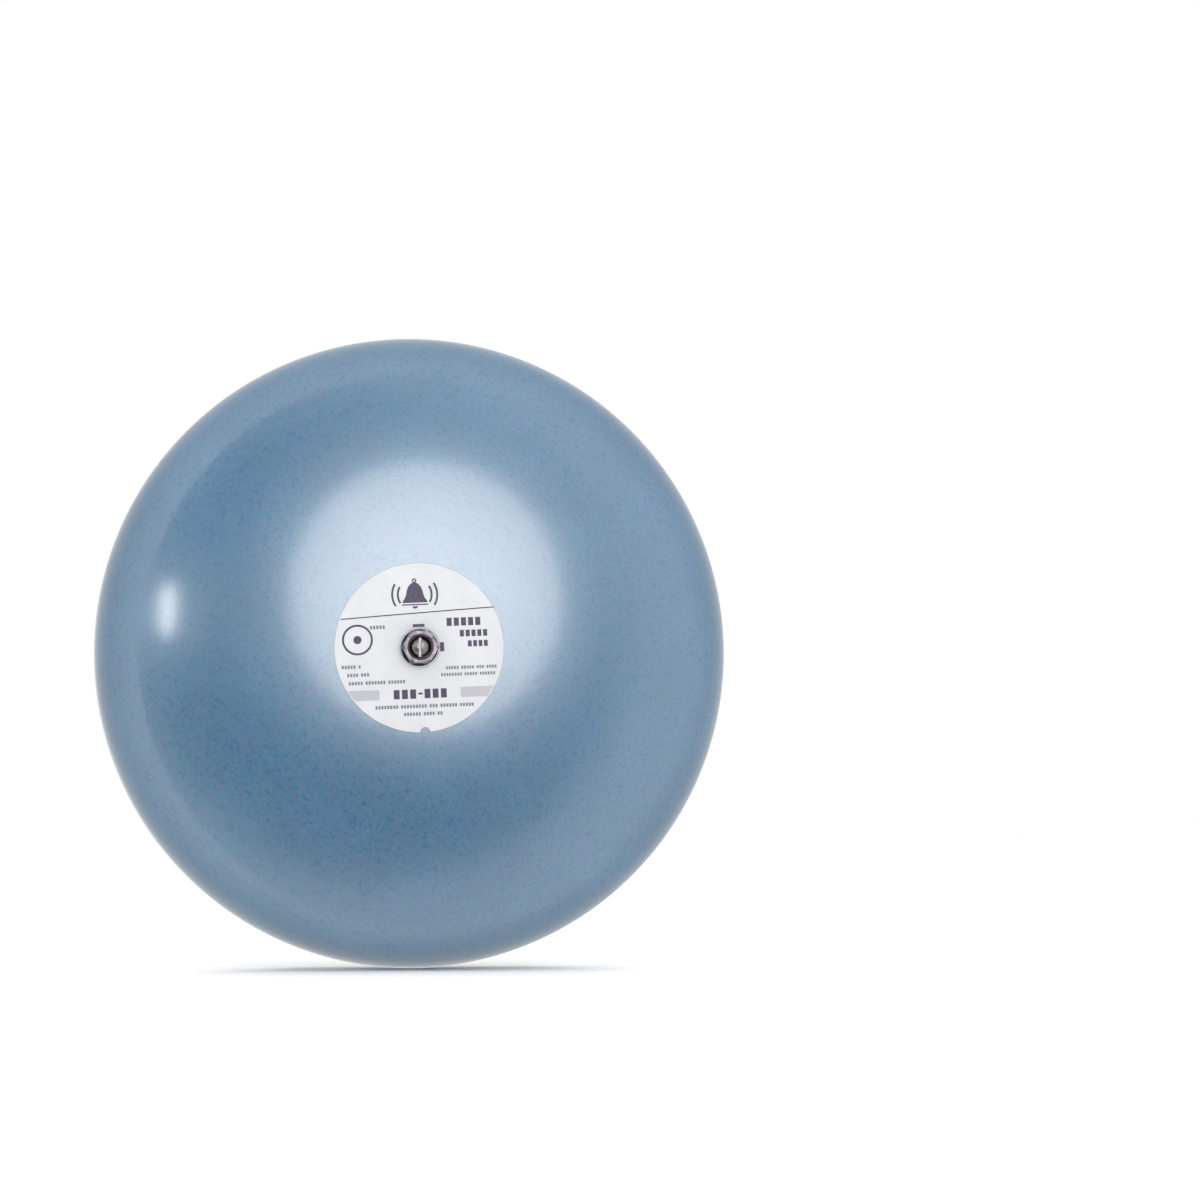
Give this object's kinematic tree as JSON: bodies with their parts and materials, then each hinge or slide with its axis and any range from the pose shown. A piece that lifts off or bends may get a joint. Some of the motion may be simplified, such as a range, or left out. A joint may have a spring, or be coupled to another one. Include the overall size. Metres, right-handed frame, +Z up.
{
  "type": "fire alarm bell",
  "caption": "Wall-mounted motor-driven fire alarm bell: a round pressed steel gong on a stud in front of a square plastic base that holds the striker mechanism.",
  "frame": {"origin": "middle of the square base on the wall plane, which is the rear edge of the base's rib", "axes": "+Z up, +X right as seen from the front, +Y into the wall; the gong faces -Y and its axis runs along Y, 56.5 mm above the origin"},
  "size_m": [0.254, 0.0756, 0.254],
  "materials": {
    "gong_enamel": "satin grey-blue enamel on pressed steel",
    "label_foil": "white printed label film, satin",
    "label_ink": "dark violet-black printing ink",
    "dark_zinc": "dull dark zinc plating",
    "zinc_steel": "bright zinc plating",
    "fibre": "red-brown vulcanised fibre",
    "yellow_chromate": "yellow iridescent chromate on zinc",
    "grey_plastic": "moulded blue-grey plastic",
    "black_rubber": "black moulded rubber",
    "galvanised_steel": "galvanised sheet with fine spangle",
    "brass": "yellow passivated or brass",
    "black_sleeving": "glossy black wire insulation",
    "red_sleeving": "red wire insulation",
    "copper": "bare tinned copper strands",
    "tie_nylon": "black nylon cable tie",
    "bare_steel": "machined or rolled steel",
    "white_nylon": "natural nylon",
    "spring_steel": "spring wire",
    "circuit_board": "phenolic board",
    "ceramic_disc": "dipped ceramic disc"
  },
  "bodies": {
    "base": {"seat_washer": "fibre", "gong_stud": "zinc_steel", "stud_nut": "zinc_steel", "support_bracket": "yellow_chromate", "bracket_screw_right": "zinc_steel", "bracket_screw_left": "zinc_steel", "base_housing": "grey_plastic", "housing_gasket": "black_rubber", "rear_plate": "galvanised_steel", "plate_screw_upper": "brass", "plate_screw_lower": "brass", "lead_grommet": "black_rubber", "lead_upper": "black_sleeving", "lead_lower": "black_sleeving", "lead_end_upper": "copper", "lead_end_lower": "copper", "lead_tie": "tie_nylon", "motor_can": "bare_steel", "motor_end_cap": "white_nylon", "mechanism_frame": "bare_steel", "frame_screw_1": "zinc_steel", "frame_screw_2": "zinc_steel", "frame_screw_3": "zinc_steel", "frame_screw_4": "zinc_steel", "motor_screw_1": "zinc_steel", "motor_screw_2": "zinc_steel", "striker_guide": "white_nylon", "return_spring": "spring_steel", "terminal_board": "circuit_board", "suppressor": "ceramic_disc", "inner_lead_upper": "black_sleeving", "inner_lead_lower": "black_sleeving", "motor_wire_right": "red_sleeving", "motor_wire_left": "red_sleeving"},
    "gong": {"gong": "gong_enamel", "gong_label": "label_foil"},
    "hub_washer": {"hub_washer": "dark_zinc"},
    "hub_nut": {"hub_nut": "dark_zinc"},
    "rotor": {"motor_shaft": "bare_steel", "drive_cam": "brass"},
    "striker": {"striker_rod": "bare_steel", "striker_head": "white_nylon", "striker_tip": "zinc_steel"}
  },
  "joints": [
    {"name": "gong_lift", "type": "slide", "parent": "base", "child": "gong", "axis": [0, -1, 0], "range_m": [0, 0.03]},
    {"name": "hub_washer_slide", "type": "slide", "parent": "gong", "child": "hub_washer", "axis": [0, -1, 0], "range_m": [0, 0.0071]},
    {"name": "hub_nut_turn", "type": "hinge", "parent": "hub_washer", "child": "hub_nut", "pos_m": [0, -0.066, 0.0565], "axis": [0, -1, 0], "range_deg": [0, 1800]},
    {"name": "motor_spin", "type": "hinge", "parent": "base", "child": "rotor", "pos_m": [0, -0.0276, 0.014], "axis": [0, -1, 0], "continuous": true},
    {"name": "striker_stroke", "type": "slide", "parent": "base", "child": "striker", "axis": [0, 0, -1], "range_m": [0, 0.003], "stiffness_N_per_m": 250, "springref_m": -0.004, "deforming": ["return_spring"]}
  ],
  "couplings": [
    {"joint": "hub_washer_slide", "follows": "hub_nut_turn", "m_per_rad": 0.0002245}
  ]
}
